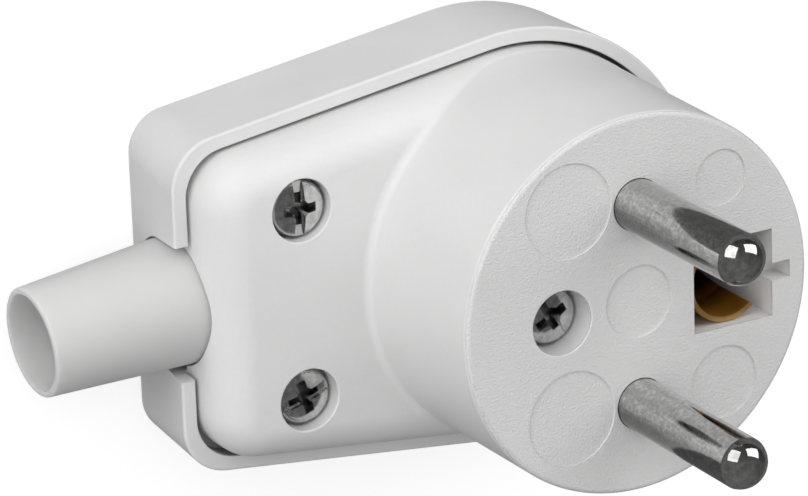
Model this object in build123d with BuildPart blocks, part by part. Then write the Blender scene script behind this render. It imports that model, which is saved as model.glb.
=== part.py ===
from build123d import *
import math
import os

# Rewirable angled mains plug, in millimetres. The origin is on the back face, on the line midway
# between the pins. +Z runs along the pins and the cable leaves towards -X.

# Heights along the pins
cover_depth = 11.0         # back face to the rim of the rear cover
shoulder_height = 4.5      # rim to the shoulder plate
boss_height = 16.7         # shoulder plate to the pin face
lap_depth = 2.2            # how far the front housing drops inside the rim

# Plan of the front housing at the rim
boss_r = 18.1
round_end_margin = 0.12    # how much the round end exceeds the boss
tail_length = 33.4         # pin axis to the tail end
tail_half_width = 13.95    # half the width at the tail end, before its corners are rounded
shoulder_fillet = 3.6
corner_spare = 1.4         # how much the tail's corner radius exceeds the shoulder fillet
boss_cove_r = 0.8
face_edge_r = 0.5
wall_draft = 1.5           # degrees, front housing wall
boss_draft = 0.75          # degrees, round boss

# Walls
front_wall = 2.0
plate_thickness = 2.2
boss_wall = 2.5
face_thickness = 3.4
cover_floor = 1.6
cover_draft = 1.8          # degrees, flanks and round end of the rear cover
cover_tail_draft = 6.3     # degrees, tail end of the rear cover
cover_back_fillet = 0.5
rim_land = 1.4             # front of the cover's rim
rim_edge_r = 0.25
rim_inner_edge_r = 0.15
seam_gap = 0.35            # front housing to the inside of the rim
ledge_width = 1.2          # step inside the rim that the front housing stands on
rebate_corner_r = 4.2
cover_corner_r = 4.8
cover_back_corner_r = 3.9
inner_corner_r = 2.0

# Contact pins
pin_pitch = 19.0
pin_r = 2.4
pin_length = 18.5
tip_height = 1.9           # round tip, a little flatter than a half sphere
neck_depth = 0.4           # undercut where the pin passes the face
neck_rise = 0.02           # neck's end above the face
pin_hole_gap = 0.03
pin_hole_edge_r = 0.05
block_r = 4.2
block_length = 9.0
block_gap = 0.15           # block to its seat in the housing
block_seat_depth = 3.0
block_seat_wall = 1.3
wire_hole_r = 1.7
wire_hole_rise = 3.9       # wire hole above the block's end

# Earth socket in the face
earth_x = 10.0
earth_square = 8.4
earth_key_length = 1.9
earth_key_width = 1.7
earth_key_depth = 2.6
earth_box_wall = 1.5
earth_box_gap = 0.7        # box's end to the contact's tail
contact_rim_depth = 1.0    # face down to the contact's rim
contact_gap = 0.1          # contact to the square hole
contact_strip = 0.45
contact_mouth_depth = 5.0
contact_taper_depth = 2.0
grip_r = 2.4
contact_length = 13.7
contact_slit = 100.0       # degrees, open towards +X
spring_gap = 0.05
spring_strip = 0.5
spring_height = 2.4
spring_rise = 3.2          # spring above the contact's end
tail_strip = 0.8
tail_strip_width = 6.4
earth_screw_x = 0.6
tail_strip_end = 3.2       # past the earth screw

# Screws and nuts
screw_r = 1.5
screw_hole_gap = 0.15
tapped_gap = 0.05
head_r = 2.6
head_height = 2.0
head_dome = 0.35
head_edge_r = 0.35
slot_width = 1.0
slot_depth = 0.6
cross_width = 0.95
cross_span = 3.3
cross_depth = 1.5
cross_taper = 10.0         # degrees, walls of the cross recess
cross_core_r = 0.95        # cone in the middle of the cross
cross_core_taper = 22.0    # degrees
screw_tip = 0.4
body_screw_inset = 8.8     # tail end to the body screws
body_screw_y = 9.08
body_head_gap = 0.35       # head to its counterbore
body_head_depth = 0.75     # plate down to a seated head
upper_backed_off = 0.5     # the upper body screw stands this much out of its seat
face_screw_x = -7.97
face_head_gap = 0.42
face_head_depth = 1.8
bore_edge_r = 0.12         # softened edge of the counterbores
screw_boss_r = 4.2
nut_flats = 5.5
nut_height = 2.4
nut_gap = 0.1
nut_depth = 0.2            # boss end down to the nut
screw_past_nut = 1.7

# Terminal screws
terminal_head_r = 2.2
terminal_head_height = 1.7
terminal_shank = 2.5
post_gap = 0.3             # terminal screw head to the cover's hollow post
earth_shank = 6.0
washer_length = 6.6
washer_thickness = 1.0
washer_gap = 0.75          # washer to the pins' posts
pillar_half_width = 3.4

# Cable sleeve
sleeve_z = 7.3
sleeve_base_r = 5.95
sleeve_tip_r = 5.07
sleeve_bore_r = 4.5
sleeve_reach = 14.6        # tail end to the tip
sleeve_lean = 3.57         # degrees towards -Y, the way the soft sleeve sits
sleeve_lip_r = 0.3
sleeve_neck_r = 5.4        # groove behind the tail wall
sleeve_neck_in = 0.7       # tail end to the groove
sleeve_gap = 0.15          # sleeve to the arch in the front housing
notch_gap = 0.2            # sleeve to the notch in the rear cover
notch_flare = 0.3          # how much the notch widens up to the rim
flange_thickness = 1.9
flange_half_width = 7.4
flange_corner_r = 2.0
flange_gap = 0.25
trap_rib = 1.4
trap_half_width = 8.6

# Cable clamp
clamp_side_gap = 0.5       # clamp to the screw bosses beside it
clamp_head_gap = 0.2       # clamp screw's head to the bowed part
clamp_strip = 1.8
clamp_cable_r = 4.2
clamp_end = 2.9            # past the clamp screw
clamp_seat_z = 8.4
clamp_boss_r = 2.8
clamp_shank = 5.6
grip_rib = 0.9
grip_rib_pitch = 3.4
grip_rib_inset = 1.0       # first grip rib to the edge of the boss's hollow
grip_rib_height = 0.8

# Round shallow mould inserts in the face: x, y, radius
insert_depth = 0.15
inserts = [
    (-7.1, 10.3, 4.45),
    (8.8, 10.2, 2.65),
    (0.0, 0.3, 3.44),
    (-7.2, -9.3, 4.5),
    (8.86, -9.43, 3.49),
]

# Levels worked out from the sizes above
rim_z = cover_depth
plate_z = rim_z + shoulder_height
face_z = plate_z + boss_height
seat_z = rim_z - lap_depth
plate_under_z = plate_z - plate_thickness
face_under_z = face_z - face_thickness
block_end_z = face_under_z - block_length
pin_y = pin_pitch / 2
contact_rim_z = face_z - contact_rim_depth
contact_end_z = contact_rim_z - contact_length
body_seat_z = plate_z - body_head_depth - head_height
face_seat_z = face_z - face_head_depth - head_height
nut_top_z = seat_z - nut_depth
nut_base_z = nut_top_z - nut_height
screw_end_z = nut_base_z - screw_past_nut
overrun = 1.0

# Places and radii worked out from the sizes above
round_end_r = boss_r + round_end_margin
front_corner_r = shoulder_fillet + corner_spare
neck_r = pin_r - neck_depth
tip_r = (pin_r ** 2 + tip_height ** 2) / (2 * tip_height)
earth_box_end_z = contact_end_z + tail_strip + earth_box_gap
washer_half_width = pin_y - block_r - washer_gap
body_bore_r = head_r + body_head_gap
face_bore_r = head_r + face_head_gap
sleeve_x = -tail_length
notch_half_width = sleeve_base_r + notch_gap
body_screw_x = body_screw_inset - tail_length
clamp_x = (body_screw_x + face_screw_x) / 2
clamp_length = face_screw_x - body_screw_x - 2 * (screw_boss_r + clamp_side_gap)
clamp_screw_y = clamp_cable_r + clamp_strip + terminal_head_r + clamp_head_gap

# The flanks are tangent to the round end and run to the tail's half width
flank_reach = math.hypot(tail_length, tail_half_width)
flank_angle = math.asin(round_end_r / flank_reach) - math.atan2(tail_half_width, tail_length)

os.makedirs("parts", exist_ok=True)


def outline(grow, corner_r, tail_in=0.0):
    """Plan of the housing, grown by a distance: a round end, two tapered flanks and a rounded tail."""
    end_r = round_end_r + grow
    tail_x = tail_in - tail_length - grow
    corner_x = tail_x + corner_r
    corner_y = (end_r - corner_r + corner_x * math.sin(flank_angle)) / math.cos(flank_angle)
    normal = Vector(-math.sin(flank_angle), math.cos(flank_angle))
    flank_start = normal * end_r
    flank_end = Vector(corner_x, corner_y) + normal * corner_r
    with BuildSketch() as plan:
        with BuildLine():
            Line(flank_start, flank_end)
            TangentArc(flank_end, (tail_x, corner_y), tangent=flank_end - flank_start)
            mirror(about=Plane.XZ)
            Line((tail_x, corner_y), (tail_x, -corner_y))
            ThreePointArc(flank_start, (end_r, 0), (flank_start.X, -flank_start.Y))
        make_face()
    return plan.sketch


def grown_by(draft, height):
    """Sideways growth of a drafted wall over a height."""
    return height * math.tan(math.radians(draft))


# Front housing: shoulder plate and round boss
with BuildPart() as front_housing:
    skirt_grow = grown_by(wall_draft, rim_z - seat_z)
    with BuildSketch(Plane.XY.offset(seat_z)):
        add(outline(skirt_grow, front_corner_r + skirt_grow))
    extrude(amount=plate_z - seat_z, taper=wall_draft)
    fillet(front_housing.faces().sort_by(Axis.Z)[-1].edges(), shoulder_fillet)
    with BuildSketch(Plane.XY.offset(seat_z)):
        Circle(boss_r + grown_by(boss_draft, plate_z - seat_z))
    extrude(amount=face_z - seat_z, taper=boss_draft)
    boss_side = front_housing.faces().filter_by(GeomType.CONE).sort_by(SortBy.AREA)[-1]
    boss_foot = boss_side.edges().filter_by(lambda edge: edge.center().Z < plate_z + face_edge_r)
    fillet(boss_foot, boss_cove_r)
    fillet(front_housing.faces().sort_by(Axis.Z)[-1].edges(), face_edge_r)

    # Wiring chamber, open to the rear cover
    with BuildSketch(Plane.XY.offset(seat_z)):
        add(outline(-front_wall, inner_corner_r))
    extrude(amount=plate_under_z - seat_z, mode=Mode.SUBTRACT)
    with BuildSketch(Plane.XY.offset(seat_z)):
        Circle(boss_r - boss_wall)
    extrude(amount=face_under_z - seat_z, mode=Mode.SUBTRACT)

    # Bosses for the three long screws
    with BuildSketch(Plane.XY.offset(seat_z)):
        with Locations((body_screw_x, body_screw_y), (body_screw_x, -body_screw_y)):
            Circle(screw_boss_r)
    extrude(amount=plate_under_z + overrun - seat_z)
    with BuildSketch(Plane.XY.offset(seat_z)):
        with Locations((face_screw_x, 0)):
            Circle(screw_boss_r)
    extrude(amount=face_under_z + overrun - seat_z)

    # Rings that centre the pin blocks
    with BuildSketch(Plane.XY.offset(face_under_z - block_seat_depth)):
        with Locations((0, pin_y), (0, -pin_y)):
            Circle(block_r + block_gap + block_seat_wall)
            Circle(block_r + block_gap, mode=Mode.SUBTRACT)
    extrude(amount=block_seat_depth + overrun)

    # Square box round the earth contact, and the pillar behind its tail
    with BuildSketch(Plane.XY.offset(earth_box_end_z)):
        with Locations((earth_x, 0)):
            Rectangle(earth_square + 2 * earth_box_wall, earth_square + 2 * earth_box_wall)
    extrude(amount=face_under_z + overrun - earth_box_end_z)
    pillar_start = earth_screw_x - tail_strip_end
    pillar_end = earth_x - earth_square / 2 - earth_box_wall / 2
    with BuildSketch(Plane.XY.offset(contact_end_z + tail_strip)):
        with Locations(((pillar_start + pillar_end) / 2, 0)):
            Rectangle(pillar_end - pillar_start, 2 * pillar_half_width)
    extrude(amount=face_under_z + overrun - contact_end_z - tail_strip)

    # Bosses and grip ribs of the cable clamp
    with BuildSketch(Plane.XY.offset(clamp_seat_z)):
        with Locations((clamp_x, clamp_screw_y), (clamp_x, -clamp_screw_y)):
            Circle(clamp_boss_r)
    extrude(amount=plate_under_z + overrun - clamp_seat_z)
    grip_x = boss_wall - boss_r - grip_rib_inset
    with BuildSketch(Plane.XY.offset(plate_under_z - grip_rib_height)):
        with Locations((grip_x, 0), (grip_x - grip_rib_pitch, 0)):
            Rectangle(grip_rib, 2 * clamp_cable_r)
    extrude(amount=grip_rib_height + overrun)

    # Rib behind the sleeve's flange
    rib_x = sleeve_x + front_wall + flange_gap + flange_thickness + flange_gap
    with BuildSketch(Plane.XY.offset(seat_z)):
        with Locations((rib_x + trap_rib / 2, 0)):
            Rectangle(trap_rib, 2 * trap_half_width)
    extrude(amount=plate_under_z + overrun - seat_z)

    # Way for the cable through the rib, and the arch over the sleeve in the tail wall
    with BuildSketch(Plane.YZ.offset(rib_x - flange_gap)):
        with Locations((0, sleeve_z)):
            Circle(sleeve_bore_r)
    extrude(amount=trap_rib + 2 * flange_gap, mode=Mode.SUBTRACT)
    with BuildSketch(Plane.YZ.offset(sleeve_x - overrun)):
        with Locations((0, sleeve_z)):
            Circle(sleeve_base_r + sleeve_gap)
    extrude(amount=rib_x - sleeve_x + overrun, mode=Mode.SUBTRACT)

    # Pin holes with softened edges
    with BuildSketch(Plane.XY.offset(face_z)):
        with Locations((0, pin_y), (0, -pin_y)):
            Circle(pin_r + pin_hole_gap)
    extrude(amount=-face_thickness - overrun, mode=Mode.SUBTRACT)
    face_circles = front_housing.faces().sort_by(Axis.Z)[-1].edges().filter_by(GeomType.CIRCLE)
    fillet(face_circles.group_by(SortBy.RADIUS)[0], pin_hole_edge_r)

    # Earth socket, its key slot and the hole for the earth screw's end
    with BuildSketch(Plane.XY.offset(face_z)):
        with Locations((earth_x, 0)):
            Rectangle(earth_square, earth_square)
    extrude(amount=earth_box_end_z - face_z, mode=Mode.SUBTRACT)
    with BuildSketch(Plane.XY.offset(face_z)):
        with Locations((earth_x + earth_square / 2 + earth_key_length / 2 - overrun / 2, 0)):
            Rectangle(earth_key_length + overrun, earth_key_width)
    extrude(amount=-earth_key_depth, mode=Mode.SUBTRACT)
    with BuildSketch(Plane.XY.offset(contact_end_z + tail_strip)):
        with Locations((earth_screw_x, 0)):
            Circle(screw_r + screw_hole_gap)
    extrude(amount=earth_shank, mode=Mode.SUBTRACT)

    # Counterbored holes of the three long screws
    with Locations((body_screw_x, body_screw_y, plate_z), (body_screw_x, -body_screw_y, plate_z)):
        CounterBoreHole(screw_r + screw_hole_gap, body_bore_r, plate_z - body_seat_z, plate_z - seat_z)
    with Locations((face_screw_x, 0, face_z)):
        CounterBoreHole(screw_r + screw_hole_gap, face_bore_r, face_z - face_seat_z, face_z - seat_z)
    for level, bore_r in ((plate_z, body_bore_r), (face_z, face_bore_r)):
        rims = front_housing.edges().filter_by(GeomType.CIRCLE).filter_by_position(Axis.Z, level, level)
        fillet(rims.filter_by(lambda edge: math.isclose(edge.radius, bore_r)), bore_edge_r)

    # Blind holes of the clamp screws
    with BuildSketch(Plane.XY.offset(clamp_seat_z)):
        with Locations((clamp_x, clamp_screw_y), (clamp_x, -clamp_screw_y)):
            Circle(screw_r + tapped_gap)
    extrude(amount=plate_under_z - clamp_seat_z, mode=Mode.SUBTRACT)

    # Mould inserts
    with BuildSketch(Plane.XY.offset(face_z)):
        for insert_x, insert_y, insert_r in inserts:
            with Locations((insert_x, insert_y)):
                Circle(insert_r)
    extrude(amount=-insert_depth, mode=Mode.SUBTRACT)
front_housing.part.label = "front_housing"
export_step(front_housing.part, "parts/front_housing.step")

# Rear cover: a deep tray with a rebated rim
with BuildPart() as rear_cover:
    cover_grow = seam_gap + rim_land
    back_in = grown_by(cover_draft, cover_depth)
    back_tail_in = grown_by(cover_tail_draft, cover_depth) - back_in
    with BuildSketch():
        add(outline(cover_grow - back_in, cover_back_corner_r, back_tail_in))
    with BuildSketch(Plane.XY.offset(cover_depth)):
        add(outline(cover_grow, cover_corner_r))
    loft()
    fillet(rear_cover.faces().sort_by(Axis.Z)[0].edges(), cover_back_fillet)
    fillet(rear_cover.faces().sort_by(Axis.Z)[-1].edges(), rim_edge_r)
    with BuildSketch(Plane.XY.offset(cover_floor)):
        add(outline(seam_gap - ledge_width, inner_corner_r))
    extrude(amount=cover_depth, mode=Mode.SUBTRACT)
    with BuildSketch(Plane.XY.offset(seat_z)):
        add(outline(seam_gap, rebate_corner_r))
    extrude(amount=cover_depth, mode=Mode.SUBTRACT)
    fillet(rear_cover.faces().sort_by(Axis.Z)[-1].inner_wires()[0].edges(), rim_inner_edge_r)

    # Rib behind the sleeve's flange, with the way for the cable
    with BuildSketch(Plane.XY.offset(cover_floor / 2)):
        with Locations((rib_x + trap_rib / 2, 0)):
            Rectangle(trap_rib, 2 * trap_half_width)
    extrude(amount=seat_z - cover_floor / 2)
    with BuildSketch(Plane.YZ.offset(rib_x - flange_gap)):
        with Locations((0, sleeve_z)):
            Circle(sleeve_bore_r)
    extrude(amount=trap_rib + 2 * flange_gap, mode=Mode.SUBTRACT)

    # Bosses for the captive nuts
    with BuildSketch(Plane.XY.offset(cover_floor / 2)):
        with Locations((body_screw_x, body_screw_y), (body_screw_x, -body_screw_y), (face_screw_x, 0)):
            Circle(screw_boss_r)
    extrude(amount=seat_z - cover_floor / 2)
    with BuildSketch(Plane.XY.offset(nut_base_z)):
        with Locations((body_screw_x, body_screw_y), (body_screw_x, -body_screw_y), (face_screw_x, 0)):
            RegularPolygon(nut_flats / 2 + nut_gap, 6, major_radius=False)
    extrude(amount=seat_z - nut_base_z, mode=Mode.SUBTRACT)
    with BuildSketch(Plane.XY.offset(nut_base_z)):
        with Locations((body_screw_x, body_screw_y), (body_screw_x, -body_screw_y), (face_screw_x, 0)):
            Circle(screw_r + screw_hole_gap)
    extrude(amount=-screw_past_nut - nut_gap, mode=Mode.SUBTRACT)

    # Hollow posts that hold the pin blocks down
    with BuildSketch(Plane.XY.offset(cover_floor / 2)):
        with Locations((0, pin_y), (0, -pin_y)):
            Circle(block_r)
            Circle(terminal_head_r + post_gap, mode=Mode.SUBTRACT)
    extrude(amount=block_end_z - cover_floor / 2)

    # Notch for the sleeve in the tail wall, centred on the leaning sleeve where it leaves the wall
    notch_start_x = sleeve_x - cover_grow - overrun
    notch_y = -grown_by(sleeve_lean, cover_grow)
    notch_end_x = sleeve_x - seam_gap + ledge_width + flange_gap
    with BuildSketch(Plane.YZ.offset(notch_start_x)):
        with Locations((notch_y, sleeve_z)):
            Circle(notch_half_width)
        with BuildLine():
            Polyline(
                (notch_y - notch_half_width, sleeve_z),
                (notch_y - notch_half_width - notch_flare, rim_z),
                (notch_y + notch_half_width + notch_flare, rim_z),
                (notch_y + notch_half_width, sleeve_z),
                close=True,
            )
        make_face()
    extrude(amount=notch_end_x - notch_start_x, mode=Mode.SUBTRACT)
rear_cover.part.label = "rear_cover"
export_step(rear_cover.part, "parts/rear_cover.step")

# Cable sleeve: tapered tube on a flange that the two mouldings trap
lean = math.radians(sleeve_lean)
sleeve_axis = Vector(-math.cos(lean), -math.sin(lean), 0)
sleeve_plane = Plane(origin=(sleeve_x, 0, sleeve_z), x_dir=sleeve_axis, z_dir=(0, 0, 1))
flange_x = sleeve_x + front_wall + flange_gap
with BuildPart() as cable_sleeve:
    flange_top = plate_under_z - flange_gap
    flange_base = cover_floor + flange_gap
    with BuildSketch(Plane.YZ.offset(flange_x)):
        with Locations((0, (flange_top + flange_base) / 2)):
            RectangleRounded(2 * flange_half_width, flange_top - flange_base, flange_corner_r)
    extrude(amount=flange_thickness)
    taper = (sleeve_base_r - sleeve_tip_r) / sleeve_reach
    root = -(front_wall + flange_gap + flange_thickness / 2)
    with BuildSketch(sleeve_plane):
        with BuildLine():
            Polyline(
                (root, 0),
                (root, sleeve_neck_r),
                (-sleeve_neck_in, sleeve_neck_r),
                (-sleeve_neck_in, sleeve_base_r + taper * sleeve_neck_in),
                (sleeve_reach, sleeve_tip_r),
                (sleeve_reach, 0),
                close=True,
            )
        make_face()
    revolve(axis=Axis(sleeve_plane.origin, sleeve_axis))
    tip_axis = Axis(sleeve_plane.origin, sleeve_axis)
    fillet(cable_sleeve.faces().sort_by(tip_axis)[-1].edges(), sleeve_lip_r)
    with BuildSketch(sleeve_plane):
        with BuildLine():
            Polyline(
                (-overrun - front_wall - 2 * flange_gap - flange_thickness, 0),
                (-overrun - front_wall - 2 * flange_gap - flange_thickness, sleeve_bore_r),
                (sleeve_reach + overrun, sleeve_bore_r),
                (sleeve_reach + overrun, 0),
                close=True,
            )
        make_face()
    revolve(axis=Axis(sleeve_plane.origin, sleeve_axis), mode=Mode.SUBTRACT)
cable_sleeve.part.label = "cable_sleeve"
export_step(cable_sleeve.part, "parts/cable_sleeve.step")

# Contact pins: shank with a round tip, and a block with a wire hole and a screw hole
for pin_name, side in (("live_pin", 1), ("neutral_pin", -1)):
    tip_z = face_z + pin_length
    with BuildPart() as pin:
        with BuildSketch(Plane.XZ.offset(-side * pin_y)):
            with BuildLine():
                Polyline(
                    (0, tip_z),
                    (0, block_end_z),
                    (block_r, block_end_z),
                    (block_r, face_under_z),
                    (neck_r, face_under_z),
                    (neck_r, face_z + neck_rise),
                    (pin_r, face_z + neck_rise),
                    (pin_r, tip_z - tip_height),
                )
                RadiusArc((pin_r, tip_z - tip_height), (0, tip_z), -tip_r)
            make_face()
        revolve(axis=Axis((0, side * pin_y, 0), (0, 0, 1)))
        with BuildSketch(Plane.YZ.offset(-block_r - overrun)):
            with Locations((side * pin_y, block_end_z + wire_hole_rise)):
                Circle(wire_hole_r)
        extrude(amount=2 * (block_r + overrun), mode=Mode.SUBTRACT)
        with BuildSketch(Plane.XY.offset(block_end_z)):
            with Locations((0, side * pin_y)):
                Circle(screw_r + tapped_gap)
        extrude(amount=wire_hole_rise, mode=Mode.SUBTRACT)
    pin.part.label = pin_name
    export_step(pin.part, f"parts/{pin_name}.step")

# Wedge that opens the earth contact and its spring towards +X
slit_half = math.radians(contact_slit / 2)
with BuildSketch() as slit_wedge:
    with BuildLine():
        Polyline(
            (earth_x, 0),
            (earth_x + earth_square * math.cos(slit_half), earth_square * math.sin(slit_half)),
            (earth_x + earth_square * math.cos(slit_half), -earth_square * math.sin(slit_half)),
            close=True,
        )
    make_face()

# Earth contact: a split sleeve with a wide mouth and a gripping throat, on a flat tail
throat_r = grip_r + contact_strip
with BuildPart() as earth_contact:
    mouth_r = earth_square / 2 - contact_gap
    mouth_end_z = contact_rim_z - contact_mouth_depth
    grip_start_z = mouth_end_z - contact_taper_depth
    with BuildSketch(Plane.XZ):
        with BuildLine():
            Polyline(
                (earth_x + mouth_r, contact_rim_z),
                (earth_x + mouth_r, mouth_end_z),
                (earth_x + throat_r, grip_start_z),
                (earth_x + throat_r, contact_end_z),
                (earth_x + grip_r, contact_end_z),
                (earth_x + grip_r, grip_start_z),
                (earth_x + mouth_r - contact_strip, mouth_end_z),
                (earth_x + mouth_r - contact_strip, contact_rim_z),
                close=True,
            )
        make_face()
    revolve(axis=Axis((earth_x, 0, 0), (0, 0, 1)))
    with BuildSketch(Plane.XY.offset(contact_end_z - overrun)):
        add(slit_wedge.sketch)
    extrude(amount=contact_length + 2 * overrun, mode=Mode.SUBTRACT)
    strip_start = earth_screw_x - tail_strip_end
    strip_end = earth_x - grip_r - contact_strip / 2
    with BuildSketch(Plane.XY.offset(contact_end_z)):
        with Locations(((strip_start + strip_end) / 2, 0)):
            Rectangle(strip_end - strip_start, tail_strip_width)
        with Locations((earth_screw_x, 0)):
            Circle(screw_r + tapped_gap, mode=Mode.SUBTRACT)
    extrude(amount=tail_strip)
earth_contact.part.label = "earth_contact"
export_step(earth_contact.part, "parts/earth_contact.step")

# Earth grip spring: a split steel ring that keeps the throat closed on the earth pin
with BuildPart() as earth_grip_spring:
    with BuildSketch(Plane.XY.offset(contact_end_z + spring_rise)):
        with Locations((earth_x, 0)):
            Circle(throat_r + spring_gap + spring_strip)
            Circle(throat_r + spring_gap, mode=Mode.SUBTRACT)
        add(slit_wedge.sketch, mode=Mode.SUBTRACT)
    extrude(amount=spring_height)
earth_grip_spring.part.label = "earth_grip_spring"
export_step(earth_grip_spring.part, "parts/earth_grip_spring.step")

# Earth clamp washer: a square plate with two lips that keep the wire in
washer_top = contact_end_z
with BuildPart() as earth_clamp_washer:
    lip_start = tail_strip_width / 2 + screw_hole_gap
    lip_y = (lip_start + washer_half_width) / 2
    with BuildSketch(Plane.XY.offset(washer_top - washer_thickness)):
        with Locations((earth_screw_x, 0)):
            Rectangle(washer_length, 2 * washer_half_width)
            Circle(screw_r + screw_hole_gap, mode=Mode.SUBTRACT)
    extrude(amount=washer_thickness)
    with BuildSketch(Plane.XY.offset(washer_top)):
        with Locations((earth_screw_x, lip_y), (earth_screw_x, -lip_y)):
            Rectangle(washer_length, washer_half_width - lip_start)
    extrude(amount=tail_strip - screw_hole_gap)
earth_clamp_washer.part.label = "earth_clamp_washer"
export_step(earth_clamp_washer.part, "parts/earth_clamp_washer.step")

# Cable clamp: a strip bowed round the cable's jacket
with BuildPart() as cable_clamp:
    end_y = clamp_screw_y + clamp_end
    outer_r = clamp_cable_r + clamp_strip
    with BuildSketch(Plane.YZ.offset(clamp_x - clamp_length / 2)):
        with Locations((0, clamp_seat_z - clamp_strip / 2)):
            Rectangle(2 * end_y, clamp_strip)
        with Locations((0, clamp_seat_z)):
            Circle(outer_r)
            Circle(clamp_cable_r, mode=Mode.SUBTRACT)
        with Locations((0, clamp_seat_z + outer_r)):
            Rectangle(2 * outer_r, 2 * outer_r, mode=Mode.SUBTRACT)
    extrude(amount=clamp_length)
    with BuildSketch(Plane.XY.offset(clamp_seat_z)):
        with Locations((clamp_x, clamp_screw_y), (clamp_x, -clamp_screw_y)):
            Circle(screw_r + screw_hole_gap)
    extrude(amount=-clamp_strip, mode=Mode.SUBTRACT)
    corners = cable_clamp.edges().filter_by(Axis.Z).group_by(Axis.Y)
    fillet(corners[0] + corners[-1], clamp_strip)
cable_clamp.part.label = "cable_clamp"
export_step(cable_clamp.part, "parts/cable_clamp.step")


def make_screw(name, seat, upward, shank, radius, height, cross, turn):
    """Domed screw seated at a point, with a slot and, if asked for, a cross recess in its head."""
    angle = math.radians(turn)
    base = Plane(origin=seat, x_dir=(math.cos(angle), math.sin(angle), 0), z_dir=(0, 0, upward))
    side = Plane(origin=seat, x_dir=base.x_dir, z_dir=-base.y_dir)
    with BuildPart() as screw:
        with BuildSketch(side):
            with BuildLine():
                Polyline(
                    (0, height),
                    (0, -shank),
                    (screw_r - screw_tip, -shank),
                    (screw_r, -shank + screw_tip),
                    (screw_r, 0),
                    (radius, 0),
                    (radius, height - head_dome - head_edge_r),
                )
                RadiusArc(
                    (radius, height - head_dome - head_edge_r),
                    (radius - head_edge_r, height - head_dome),
                    -head_edge_r,
                )
                ThreePointArc(
                    (radius - head_edge_r, height - head_dome),
                    ((radius - head_edge_r) / 2, height - head_dome / 4),
                    (0, height),
                )
            make_face()
        revolve(axis=Axis(seat, (0, 0, upward)))
        with BuildSketch(base.offset(height)):
            Rectangle(2 * radius + overrun, slot_width)
        extrude(amount=-slot_depth, mode=Mode.SUBTRACT)
        if cross:
            with BuildSketch(base.offset(height)):
                Rectangle(cross_span, cross_width)
                Rectangle(cross_width, cross_span)
            extrude(amount=-cross_depth, taper=cross_taper, mode=Mode.SUBTRACT)
            with BuildSketch(base.offset(height)):
                Circle(cross_core_r)
            extrude(amount=-cross_depth, taper=cross_core_taper, mode=Mode.SUBTRACT)
    screw.part.label = name
    export_step(screw.part, f"parts/{name}.step")


# Long screws that hold the two mouldings together
body_shank = body_seat_z - screw_end_z
upper_seat_z = body_seat_z + upper_backed_off
make_screw("upper_body_screw", (body_screw_x, body_screw_y, upper_seat_z), 1, body_shank,
           head_r, head_height, True, 90)
make_screw("lower_body_screw", (body_screw_x, -body_screw_y, body_seat_z), 1, body_shank,
           head_r, head_height, True, 16)
make_screw("face_screw", (face_screw_x, 0, face_seat_z), 1, face_seat_z - screw_end_z,
           head_r, head_height, True, -62)

# Screws inside, driven from the back
terminal_seat_z = block_end_z
make_screw("live_terminal_screw", (0, pin_y, terminal_seat_z), -1, terminal_shank,
           terminal_head_r, terminal_head_height, False, 30)
make_screw("neutral_terminal_screw", (0, -pin_y, terminal_seat_z), -1, terminal_shank,
           terminal_head_r, terminal_head_height, False, -20)
make_screw("earth_terminal_screw", (earth_screw_x, 0, washer_top - washer_thickness), -1, earth_shank,
           terminal_head_r, terminal_head_height, False, 70)
clamp_under_z = clamp_seat_z - clamp_strip
make_screw("upper_clamp_screw", (clamp_x, clamp_screw_y, clamp_under_z), -1, clamp_shank,
           terminal_head_r, terminal_head_height, False, 45)
make_screw("lower_clamp_screw", (clamp_x, -clamp_screw_y, clamp_under_z), -1, clamp_shank,
           terminal_head_r, terminal_head_height, False, 10)

# Captive nuts
for nut_name, nut_x, nut_y in (
    ("upper_body_nut", body_screw_x, body_screw_y),
    ("lower_body_nut", body_screw_x, -body_screw_y),
    ("face_nut", face_screw_x, 0),
):
    with BuildPart() as nut:
        with BuildSketch(Plane.XY.offset(nut_base_z)):
            with Locations((nut_x, nut_y)):
                RegularPolygon(nut_flats / 2, 6, major_radius=False)
                Circle(screw_r + tapped_gap, mode=Mode.SUBTRACT)
        extrude(amount=nut_height)
    nut.part.label = nut_name
    export_step(nut.part, f"parts/{nut_name}.step")
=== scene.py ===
import math

import bpy
from mathutils import Matrix, Vector


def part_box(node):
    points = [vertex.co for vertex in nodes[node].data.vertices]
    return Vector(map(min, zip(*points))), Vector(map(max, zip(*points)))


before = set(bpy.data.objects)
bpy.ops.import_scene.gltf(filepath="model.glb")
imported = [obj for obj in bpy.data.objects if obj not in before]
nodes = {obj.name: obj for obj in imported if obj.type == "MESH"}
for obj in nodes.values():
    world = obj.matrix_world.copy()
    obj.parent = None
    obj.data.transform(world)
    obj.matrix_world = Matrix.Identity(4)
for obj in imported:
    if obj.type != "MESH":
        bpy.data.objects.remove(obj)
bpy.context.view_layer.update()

# Camera, in metres and degrees: the photograph's long lens, above the tail end and left of the pins
camera_place = Vector((-0.23146, 0.17079, 0.40330))
camera_target = Vector((-0.01466, 0.00356, 0.01600))
camera_roll = 2.06
camera_lens = 235.1
camera_sensor = 36.0
camera_near = 0.01
picture_up = Vector((0.0, 1.0, 0.0))

# Softboxes: direction from the plug, then metres, watts and degrees
softbox_aim = Vector((-0.006, 0.0, 0.018))
softboxes = {
    "left_softbox": {
        "towards": (-0.66, 0.66, 0.34),
        "distance": 0.45,
        "width": 0.38,
        "height": 0.38,
        "power": 0.57,
    },
    "right_softbox": {
        "towards": (0.56, 0.58, 0.58),
        "distance": 0.45,
        "width": 0.40,
        "height": 0.24,
        "power": 0.52,
        "roll": 42.0,
    },
}
fill_light = {
    "towards": (-0.72, 0.40, 0.53),
    "distance": 0.60,
    "width": 0.70,
    "height": 0.70,
    "power": 1.02,
}

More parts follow.
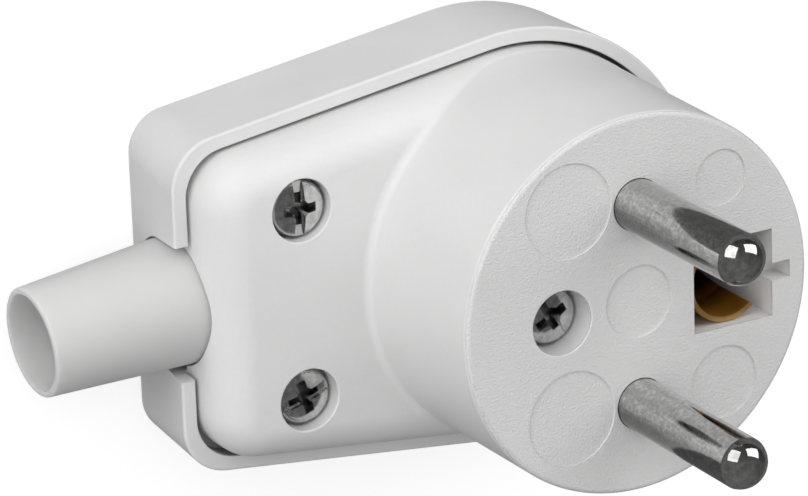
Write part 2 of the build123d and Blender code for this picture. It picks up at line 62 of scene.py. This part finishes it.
# Surroundings; a slope is how much brighter it gets towards +X, +Y and +Z
white = (1.0, 1.0, 1.0, 1.0)
floor_side = 4.0
floor_colour = (0.42, 0.42, 0.42, 1.0)
floor_roughness = 0.9
floor_glow = 0.72
ambient_level = 0.54
ambient_slope = (-0.31, 0.38, 0.08)
tent_radius = 1.5
tent_steps = 32
tent_rings = 8
tent_lift = 0.0002
tent_level = 0.085
tent_slope = (-0.03, -0.04, 0.035)
tent_floor_level = 0.13

# All finishes: linear colours, noise in features per metre, relief in metres
# A spread is the range of a noise that counts; shades are factors on a colour at its two ends
noise_spread = (0.3, 0.7)

# Moulded plastic of the housing halves and the clamp
housing_colour = (0.715, 0.715, 0.713)
clamp_colour = (0.600, 0.600, 0.585)
housing_roughness = 0.40
cover_roughness = 0.42
clamp_roughness = 0.45
roughness_change = 0.03
plastic_specular = 0.36
flow_scale = 110.0
flow_shades = (0.975, 1.02)
fleck_scale = 2400.0
fleck_spread = (0.35, 0.75)
fleck_share = 0.06
fleck_shade = 0.7
fleck_relief = 0.000004

# Grain of the pin face, which starts a little below it
grain_depth = 0.00022
grain_edge = 0.00004
grain_scale = 5000.0
grain_relief = 0.00011
grain_matte = (0.14, 0.22)

# Painted shade in the cover's seams, thicker along one direction across the plug
seam_shadow_darkness = 0.18
seam_shadow_reach = 0.0012
seam_shadow_samples = 12
seam_shadow_gap = (0.12, 0.55)
seam_shadow_most = 0.92
seam_shadow_least = 0.15
seam_shadow_towards = (0.8, -0.6, 0.0)
seam_shadow_from = -0.030
seam_shadow_full = -0.015

# Soft plastic of the sleeve, with drag marks along it
sleeve_colour = (0.600, 0.600, 0.598)
sleeve_roughness = (0.46, 0.58)
sleeve_specular = 0.3
sleeve_flow_scale = 160.0
sleeve_shades = (0.975, 1.015)
sleeve_translucence = 0.8
sleeve_light_depth = 0.0022
drag_scale = 1500.0
drag_stretch = (0.12, 1.0, 1.0)
drag_relief = 0.000006

# Nickel of the pins: drawn shank and polished tip
nickel_colour = (0.74, 0.74, 0.73)
polish_colour = (0.72, 0.72, 0.71)
nickel_roughness = (0.07, 0.15)
tip_height = 0.0019
tip_edge = 0.0002
tip_roughness_share = 0.55
tip_spread = (0.38, 0.62)
tip_shades = (0.74, 1.12)
speckle_scale = 2800.0
speckle_spread = (0.40, 0.62)
speckle_share = 0.55
speckle_shade = 0.5
mottle_scale = 1400.0
mottle_spread = (0.35, 0.65)
mottle_shades = (0.84, 1.14)
mottle_relief = 0.000006
streak_scale = 4200.0
streak_stretch = (1.0, 1.0, 0.05)
streak_relief = 0.000003
band_scale = 620.0
band_stretch = (1.0, 1.0, 0.04)
band_spread = (0.36, 0.56)
band_share = 0.5
band_shade = 0.45

# Dark band along one side of each pin, measured from the pin's axis, which fades towards the tip
pin_pitch = 0.019
side_band_towards = (-0.90, -0.43, 0.0)
side_band_ragged = 0.0005
side_band_from = 0.0016
side_band_full = 0.0025
side_band_most = 0.80
side_band_shade = 0.16
side_band_fade_from = 0.006
side_band_fade_to = 0.015
side_band_left_over = 0.5

# Zinc-plated steel; the painted shade in the recess is measured down from the head's top
steel_colour = (0.68, 0.68, 0.675)
steel_roughness = (0.13, 0.24)
steel_mottle_scale = 1600.0
steel_spread = (0.35, 0.65)
steel_shades = (0.80, 1.14)
steel_relief = 0.000005
recess_shadow_from = 0.0005
recess_shadow_full = 0.0016
recess_shadow_darkness = 0.4

# Brass of the earth contact, measured down from its rim; deep down it gets painted shade
brass_colour = (0.62, 0.43, 0.18)
tarnish_colour = (0.62, 0.265, 0.023)
shaded_brass_colour = (0.030, 0.012, 0.003)
brass_metallic = 0.85
brass_roughness = (0.24, 0.46)
patch_scale = 420.0
patch_spread = (0.42, 0.68)
patch_share = 0.8
rolled_scale = 5000.0
rolled_stretch = (1.0, 1.0, 0.08)
rolled_relief = 0.000004
worn_from = 0.0001
worn_to = 0.0005
brass_shadow_from = 0.0022
brass_shadow_full = 0.0060

# Numbers of a mix node's colour sockets
first_colour_in = 6
second_colour_in = 7
mixed_colour_out = 2


# Shader building

def new_material(name):
    """A material with a Principled shader; returns it with its node tree and the shader."""
    material = bpy.data.materials.new(name)
    material.use_nodes = True
    tree = material.node_tree
    return material, tree, tree.nodes["Principled BSDF"]


def add_node(tree, kind, inputs=None, **settings):
    """A node with its settings and inputs filled in; an input that is a socket is linked."""
    made = tree.nodes.new(kind)
    for key, value in settings.items():
        setattr(made, key, value)
    for key, value in (inputs or {}).items():
        if isinstance(value, bpy.types.NodeSocket):
            tree.links.new(value, made.inputs[key])
        else:
            made.inputs[key].default_value = value
    return made


def math_value(tree, operation, *values):
    """Result of an arithmetic operation on values or sockets."""
    made = add_node(tree, "ShaderNodeMath", dict(enumerate(values)), operation=operation)
    return made.outputs["Value"]


def multiply(tree, first, second):
    """Product of two values."""
    return math_value(tree, "MULTIPLY", first, second)


def object_place(tree, stretch=(1.0, 1.0, 1.0)):
    """Object coordinates in metres, stretched along the axes."""
    place = add_node(tree, "ShaderNodeTexCoord").outputs["Object"]
    return add_node(tree, "ShaderNodeMapping", {"Vector": place, "Scale": stretch}).outputs["Vector"]


def split_axes(tree, place):
    """The X, Y and Z of a place."""
    return add_node(tree, "ShaderNodeSeparateXYZ", {"Vector": place}).outputs


def measured_along(tree, place, direction):
    """How far a place lies along a direction."""
    made = add_node(tree, "ShaderNodeVectorMath", {0: place, 1: direction}, operation="DOT_PRODUCT")
    return made.outputs["Value"]


def noise(tree, place, scale, detail=2.0, roughness=0.5):
    """Noise value, with its scale in features per metre."""
    inputs = {"Vector": place, "Scale": scale, "Detail": detail, "Roughness": roughness}
    return add_node(tree, "ShaderNodeTexNoise", inputs).outputs["Fac"]


def ramp(tree, value, low, high, out_low, out_high):
    """Maps a value from one range to another, held at the ends."""
    inputs = {"Value": value, "From Min": low, "From Max": high, "To Min": out_low, "To Max": out_high}
    return add_node(tree, "ShaderNodeMapRange", inputs).outputs["Result"]


def blend_colours(tree, factor, first, second):
    """Mix of two linear colours by a factor."""
    made = add_node(tree, "ShaderNodeMix", data_type="RGBA")
    tree.links.new(factor, made.inputs["Factor"])
    for number, colour in ((first_colour_in, first), (second_colour_in, second)):
        if isinstance(colour, bpy.types.NodeSocket):
            tree.links.new(colour, made.inputs[number])
        else:
            made.inputs[number].default_value = (*colour, 1.0)
    return made.outputs[mixed_colour_out]


def shade(colour, factor):
    """A colour made lighter or darker."""
    return tuple(channel * factor for channel in colour)


def clouded(tree, clouds, spread, colour, shades):
    """A colour that goes from a darker to a lighter shade of itself with a noise."""
    dark, light = shades
    share = ramp(tree, clouds, *spread, 0.0, 1.0)
    return blend_colours(tree, share, shade(colour, dark), shade(colour, light))


def bump(tree, height, distance, under=None):
    """Bump of a height in metres, on top of another bump if one is given."""
    inputs = {"Height": height, "Distance": distance}
    if under is not None:
        inputs["Normal"] = under
    return add_node(tree, "ShaderNodeBump", inputs).outputs["Normal"]


# Finishes

def painted_seam_shadow(tree, tone, colour):
    """A tone with painted shade in seams and narrow gaps, stronger along one direction across the plug.
    """
    reach = {"Distance": seam_shadow_reach}
    occlusion = add_node(tree, "ShaderNodeAmbientOcclusion", reach, samples=seam_shadow_samples)
    narrow = ramp(tree, occlusion.outputs["AO"], *seam_shadow_gap, seam_shadow_most, 0.0)
    across = measured_along(tree, object_place(tree), seam_shadow_towards)
    shaded_side = ramp(tree, across, seam_shadow_from, seam_shadow_full, seam_shadow_least, 1.0)
    painted_shadow = multiply(tree, narrow, shaded_side)
    return blend_colours(tree, painted_shadow, tone, shade(colour, seam_shadow_darkness))


def moulded_plastic(name, colour, roughness, grain_from=None, seams=False):
    """Satin moulded plastic with faint flow clouds; above a height it has a spark-eroded grain."""
    material, tree, shader = new_material(name)
    place = object_place(tree)
    flow = noise(tree, place, flow_scale, detail=3.0)
    fleck = noise(tree, place, fleck_scale, detail=2.0)
    clouds = clouded(tree, flow, noise_spread, colour, flow_shades)
    flecked = ramp(tree, fleck, *fleck_spread, 0.0, fleck_share)
    tone = blend_colours(tree, flecked, clouds, shade(colour, fleck_shade))
    # painted shade darkens the cover's seams and narrow gaps
    if seams:
        tone = painted_seam_shadow(tree, tone, colour)
    tree.links.new(tone, shader.inputs["Base Color"])
    gloss = ramp(tree, flow, *noise_spread, roughness - roughness_change, roughness + roughness_change)
    relief = bump(tree, fleck, fleck_relief)
    if grain_from is not None:
        height = split_axes(tree, place)["Z"]
        grained = ramp(tree, height, grain_from, grain_from + grain_edge, 0.0, 1.0)
        pits = noise(tree, place, grain_scale, detail=3.0, roughness=0.6)
        relief = bump(tree, multiply(tree, pits, grained), grain_relief, under=relief)
        matte = multiply(tree, grained, ramp(tree, pits, *noise_spread, *grain_matte))
        gloss = math_value(tree, "ADD", gloss, matte)
    tree.links.new(gloss, shader.inputs["Roughness"])
    tree.links.new(relief, shader.inputs["Normal"])
    shader.inputs["Specular IOR Level"].default_value = plastic_specular
    return material


def soft_plastic(name, colour):
    """Soft matte plastic that lets a little light through, with fine drag marks along the sleeve."""
    material, tree, shader = new_material(name)
    drag = noise(tree, object_place(tree, drag_stretch), drag_scale, detail=2.0)
    flow = noise(tree, object_place(tree), sleeve_flow_scale, detail=2.0)
    tone = clouded(tree, flow, noise_spread, colour, sleeve_shades)
    tree.links.new(tone, shader.inputs["Base Color"])
    tree.links.new(ramp(tree, drag, *noise_spread, *sleeve_roughness), shader.inputs["Roughness"])
    tree.links.new(bump(tree, drag, drag_relief), shader.inputs["Normal"])
    shader.inputs["Specular IOR Level"].default_value = sleeve_specular
    shader.inputs["Subsurface Weight"].default_value = sleeve_translucence
    shader.inputs["Subsurface Radius"].default_value = (1.0, 1.0, 1.0)
    shader.inputs["Subsurface Scale"].default_value = sleeve_light_depth
    return material


def pin_side_band(tree, place, streaks, shank_from):
    """Share of a dark band on one side of each pin, with a ragged edge, fading towards the tip."""
    axes = split_axes(tree, place)
    along_row = math_value(tree, "WRAP", axes["Y"], 0.0, pin_pitch)
    from_row = add_node(tree, "ShaderNodeCombineXYZ", {"X": axes["X"], "Y": along_row}).outputs["Vector"]
    half_pitch = (0.0, pin_pitch / 2, 0.0)
    from_axis = add_node(tree, "ShaderNodeVectorMath", {0: from_row, 1: half_pitch}, operation="SUBTRACT")
    aside = measured_along(tree, from_axis.outputs["Vector"], side_band_towards)
    uneven = math_value(tree, "MULTIPLY_ADD", streaks, side_band_ragged, aside)
    banded_share = ramp(tree, uneven, side_band_from, side_band_full, 0.0, side_band_most)
    fade_from = shank_from + side_band_fade_from
    fade_to = shank_from + side_band_fade_to
    return multiply(tree, banded_share, ramp(tree, axes["Z"], fade_from, fade_to, 1.0, side_band_left_over))


def drawn_nickel(name, colour, polish, polished_from, shank_from):
    """Nickel plating: a speckled drawn shank, darker in a band on one side, and a polished tip above a
    height.
    """
    material, tree, shader = new_material(name)
    shader.inputs["Metallic"].default_value = 1.0
    place = object_place(tree)
    speckle = noise(tree, place, speckle_scale, detail=3.0, roughness=0.6)
    mottle = noise(tree, place, mottle_scale, detail=4.0, roughness=0.65)
    streaks = noise(tree, object_place(tree, streak_stretch), streak_scale, detail=3.0)
    bands = noise(tree, object_place(tree, band_stretch), band_scale, detail=2.0)
    clouds = clouded(tree, mottle, mottle_spread, colour, mottle_shades)
    banded = ramp(tree, bands, *band_spread, band_share, 0.0)
    drawn = blend_colours(tree, banded, clouds, shade(colour, band_shade))
    speckled = ramp(tree, speckle, *speckle_spread, speckle_share, 0.0)
    flecks = blend_colours(tree, speckled, drawn, shade(colour, speckle_shade))
    # a dark band along one side of each pin's shank
    side_band = pin_side_band(tree, place, streaks, shank_from)
    shank_tone = blend_colours(tree, side_band, flecks, shade(colour, side_band_shade))
    rubbed = clouded(tree, mottle, tip_spread, polish, tip_shades)
    height = split_axes(tree, place)["Z"]
    polished_to = polished_from + tip_edge
    polished = ramp(tree, height, polished_from, polished_to, 0.0, 1.0)
    tree.links.new(blend_colours(tree, polished, shank_tone, rubbed), shader.inputs["Base Color"])
    shank = ramp(tree, height, polished_from, polished_to, 1.0, tip_roughness_share)
    gloss = ramp(tree, streaks, *noise_spread, *nickel_roughness)
    tree.links.new(multiply(tree, gloss, shank), shader.inputs["Roughness"])
    relief = bump(tree, multiply(tree, streaks, shank), streak_relief)
    relief = bump(tree, multiply(tree, mottle, shank), mottle_relief, under=relief)
    tree.links.new(relief, shader.inputs["Normal"])
    return material


def plated_steel(name, colour, head_top=None):
    """Zinc-plated steel; under a head's top the driver recess gets painted shade."""
    material, tree, shader = new_material(name)
    shader.inputs["Metallic"].default_value = 1.0
    place = object_place(tree)
    mottle = noise(tree, place, steel_mottle_scale, detail=4.0, roughness=0.6)
    tone = clouded(tree, mottle, steel_spread, colour, steel_shades)
    if head_top is not None:
        height = split_axes(tree, place)["Z"]
        # painted shade, darker the deeper into the driver recess
        recess_shadow = ramp(tree, height, head_top - recess_shadow_full, head_top - recess_shadow_from, 1.0, 0.0)
        tone = blend_colours(tree, recess_shadow, tone, shade(colour, recess_shadow_darkness))
    tree.links.new(tone, shader.inputs["Base Color"])
    tree.links.new(ramp(tree, mottle, *noise_spread, *steel_roughness), shader.inputs["Roughness"])
    tree.links.new(bump(tree, mottle, steel_relief), shader.inputs["Normal"])
    return material


def tarnished_brass(name, colour, tarnish, deep, rim_top):
    """Rolled brass strip: bright at its worn rim, then brown in patches, and darkened by painted shade to
    nearly black deep down.
    """
    material, tree, shader = new_material(name)
    shader.inputs["Metallic"].default_value = brass_metallic
    place = object_place(tree)
    patches = noise(tree, place, patch_scale, detail=4.0, roughness=0.65)
    rolled = noise(tree, object_place(tree, rolled_stretch), rolled_scale)
    height = split_axes(tree, place)["Z"]
    patched = ramp(tree, patches, *patch_spread, 0.0, patch_share)
    worn = blend_colours(tree, patched, colour, tarnish)
    below_rim = ramp(tree, height, rim_top - worn_to, rim_top - worn_from, 1.0, 0.0)
    brown = blend_colours(tree, below_rim, worn, tarnish)
    # painted shade turns the brass nearly black deep inside the contact
    shadowed_depth = ramp(tree, height, rim_top - brass_shadow_full, rim_top - brass_shadow_from, 1.0, 0.0)
    dark = blend_colours(tree, shadowed_depth, brown, deep)
    tree.links.new(dark, shader.inputs["Base Color"])
    tree.links.new(ramp(tree, patches, *noise_spread, *brass_roughness), shader.inputs["Roughness"])
    tree.links.new(bump(tree, rolled, rolled_relief), shader.inputs["Normal"])
    return material


def dress(material, *names):
    """Gives CAD nodes a finish."""
    for name in names:
        node = nodes[name]
        if not node.material_slots:
            node.data.materials.append(material)
        for slot in node.material_slots:
            slot.material = material


# Surroundings and light

def look_matrix(place, target, roll=0.0):
    """Matrix of a camera or lamp that looks at a target, upright in the picture but for its roll."""
    forward = (target - place).normalized()
    side = forward.cross(picture_up).normalized()
    upward = side.cross(forward)
    angle = math.radians(roll)
    top = upward * math.cos(angle) + side * math.sin(angle)
    right = forward.cross(top)
    turned = Matrix((right, top, -forward)).transposed()
    return Matrix.Translation(place) @ turned.to_4x4()


def link_object(name, data):
    """A new object in the scene."""
    made = bpy.data.objects.new(name, data)
    bpy.context.scene.collection.objects.link(made)
    return made


def add_softbox(name, towards, distance, width, height, power, roll=0.0):
    """Rectangular area lamp aimed at the plug."""
    lamp = bpy.data.lights.new(name, "AREA")
    lamp.shape = "RECTANGLE"
    lamp.size = width
    lamp.size_y = height
    lamp.energy = power
    made = link_object(name, lamp)
    place = softbox_aim + Vector(towards).normalized() * distance
    made.matrix_world = look_matrix(place, softbox_aim, roll)
    return made


def graded_light(tree, place, level, slope):
    """Strength that grows with a direction's share of each axis, never below zero."""
    toward = add_node(tree, "ShaderNodeVectorMath", {0: place}, operation="NORMALIZE").outputs["Vector"]
    total = math_value(tree, "ADD", measured_along(tree, toward, slope), level)
    return math_value(tree, "MAXIMUM", total, 0.0)


def seen_background(tree):
    """1 for rays that show the background: straight, mirrored or through glass."""
    rays = add_node(tree, "ShaderNodeLightPath").outputs
    mirrored = math_value(tree, "MAXIMUM", rays["Is Camera Ray"], rays["Is Glossy Ray"])
    return math_value(tree, "MAXIMUM", mirrored, rays["Is Transmission Ray"])


def add_floor():
    """Pale floor that keeps the shadow and glows a little towards the camera, up to white."""
    half = floor_side / 2
    corners = [(-half, -half, 0.0), (half, -half, 0.0), (half, half, 0.0), (-half, half, 0.0)]
    mesh = bpy.data.meshes.new("floor")
    mesh.from_pydata(corners, [], [(0, 1, 2, 3)])
    floor = link_object("floor", mesh)
    material, tree, shader = new_material("pale_floor")
    shader.inputs["Base Color"].default_value = floor_colour
    shader.inputs["Roughness"].default_value = floor_roughness
    shader.inputs["Specular IOR Level"].default_value = 0.0
    shader.inputs["Emission Color"].default_value = white
    glow = multiply(tree, seen_background(tree), floor_glow)
    tree.links.new(glow, shader.inputs["Emission Strength"])
    mesh.materials.append(material)


def glowing(name):
    """A material with nothing in it yet; returns it with its node tree."""
    material = bpy.data.materials.new(name)
    material.use_nodes = True
    material.node_tree.nodes.remove(material.node_tree.nodes["Principled BSDF"])
    return material, material.node_tree


def light_up(tree, strength):
    """Makes a material glow white at a strength."""
    glow = add_node(tree, "ShaderNodeEmission", {"Strength": strength})
    tree.links.new(glow.outputs["Emission"], tree.nodes["Material Output"].inputs["Surface"])


def tent_mesh():
    """Half a globe of rings on a flat floor, which is its last face."""
    points = [(0.0, 0.0, tent_radius)]
    for ring in range(1, tent_rings + 1):
        tilt = math.pi / 2 * ring / tent_rings
        reach = tent_radius * math.sin(tilt)
        height = tent_radius * math.cos(tilt) + tent_lift
        for step in range(tent_steps):
            turn = 2 * math.pi * step / tent_steps
            points.append((reach * math.cos(turn), reach * math.sin(turn), height))
    faces = [(0, 1 + step, 1 + (step + 1) % tent_steps) for step in range(tent_steps)]
    for ring in range(tent_rings - 1):
        upper = 1 + ring * tent_steps
        lower = upper + tent_steps
        for step in range(tent_steps):
            after = (step + 1) % tent_steps
            faces.append((upper + step, lower + step, lower + after, upper + after))
    lowest = 1 + (tent_rings - 1) * tent_steps
    faces.append(tuple(lowest + step for step in range(tent_steps)))
    mesh = bpy.data.meshes.new("reflection_tent")
    mesh.from_pydata(points, [], faces)
    return mesh


def add_tent():
    """Dim tent round the set, seen only in reflections, that gives the metal its dark parts."""
    mesh = tent_mesh()
    tent = link_object("reflection_tent", mesh)
    dome, dome_tree = glowing("dark_tent")
    light_up(dome_tree, graded_light(dome_tree, object_place(dome_tree), tent_level, tent_slope))
    ground, ground_tree = glowing("dark_tent_floor")
    light_up(ground_tree, tent_floor_level)
    mesh.materials.append(dome)
    mesh.materials.append(ground)
    mesh.polygons[-1].material_index = 1
    tent.visible_camera = False
    tent.visible_diffuse = False
    tent.visible_transmission = False
    tent.visible_shadow = False


def add_world():
    """White surroundings for the camera and a dimmer, graded white light from all sides."""
    world = bpy.data.worlds.new("white_studio")
    world.use_nodes = True
    tree = world.node_tree
    background = tree.nodes["Background"]
    background.inputs["Color"].default_value = white
    toward = add_node(tree, "ShaderNodeTexCoord").outputs["Generated"]
    dim = graded_light(tree, toward, ambient_level, ambient_slope)
    strength = add_node(tree, "ShaderNodeMix", {"Factor": seen_background(tree), "A": dim, "B": 1.0})
    tree.links.new(strength.outputs["Result"], background.inputs["Strength"])
    bpy.context.scene.world = world


def add_camera():
    """The photograph's viewpoint."""
    camera = bpy.data.cameras.new("camera")
    camera.lens = camera_lens
    camera.sensor_width = camera_sensor
    camera.clip_start = camera_near
    made = link_object("camera", camera)
    made.matrix_world = look_matrix(camera_place, camera_target, camera_roll)
    bpy.context.scene.camera = made


# Finishes on the pieces

face_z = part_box("front_housing")[1].z
tip_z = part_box("live_pin")[1].z
rim_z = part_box("earth_contact")[1].z

housing_plastic = moulded_plastic(
    "front_housing_plastic", housing_colour, housing_roughness, grain_from=face_z - grain_depth)
dress(housing_plastic, "front_housing")
# the rear cover's finish has painted shade in its seams
cover_plastic = moulded_plastic("rear_cover_plastic", housing_colour, cover_roughness, seams=True)
dress(cover_plastic, "rear_cover")
dress(soft_plastic("sleeve_plastic", sleeve_colour), "cable_sleeve")
dress(moulded_plastic("clamp_plastic", clamp_colour, clamp_roughness), "cable_clamp")
pin_nickel = drawn_nickel("drawn_nickel", nickel_colour, polish_colour, tip_z - tip_height, face_z)
dress(pin_nickel, "live_pin", "neutral_pin")
contact_brass = tarnished_brass("contact_brass", brass_colour, tarnish_colour, shaded_brass_colour, rim_z)
dress(contact_brass, "earth_contact")
for screw_name in ("upper_body_screw", "lower_body_screw", "face_screw"):
    screw_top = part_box(screw_name)[1].z
    dress(plated_steel(screw_name + "_steel", steel_colour, screw_top), screw_name)
dress(
    plated_steel("inner_steel", steel_colour),
    "live_terminal_screw", "neutral_terminal_screw", "earth_terminal_screw",
    "upper_clamp_screw", "lower_clamp_screw",
    "upper_body_nut", "lower_body_nut", "face_nut",
    "earth_clamp_washer", "earth_grip_spring",
)

# The set

add_world()
add_floor()
add_tent()
for softbox_name, softbox in softboxes.items():
    add_softbox(softbox_name, **softbox)
front_fill = add_softbox("front_fill", **fill_light)
front_fill.visible_glossy = False
add_camera()
bpy.context.scene.view_settings.view_transform = "Standard"
